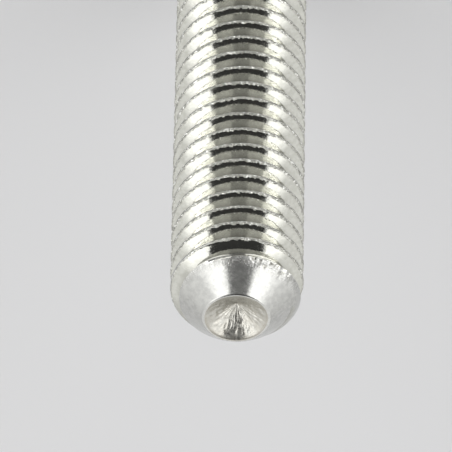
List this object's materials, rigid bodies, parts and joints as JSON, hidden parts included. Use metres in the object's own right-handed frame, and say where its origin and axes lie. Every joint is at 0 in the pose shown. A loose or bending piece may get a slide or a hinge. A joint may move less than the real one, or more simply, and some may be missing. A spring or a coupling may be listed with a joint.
{
  "type": "grub set screw",
  "caption": "Headless set screw with a full-length right-hand metric thread, a hexagon socket in one end and a hollow cup point on the other.",
  "frame": {"origin": "centre of the flat socket-end face, on the screw's axis", "axes": "+Z runs along the screw's axis from the socket end to the rim of the cup point; two flats of the hexagon socket face along +Y and -Y"},
  "size_m": [0.006, 0.006, 0.025],
  "materials": {
    "steel": "bright bare steel with fine turning and thread-rolling marks"
  },
  "bodies": {
    "root": {"set_screw": "steel"}
  },
  "joints": []
}
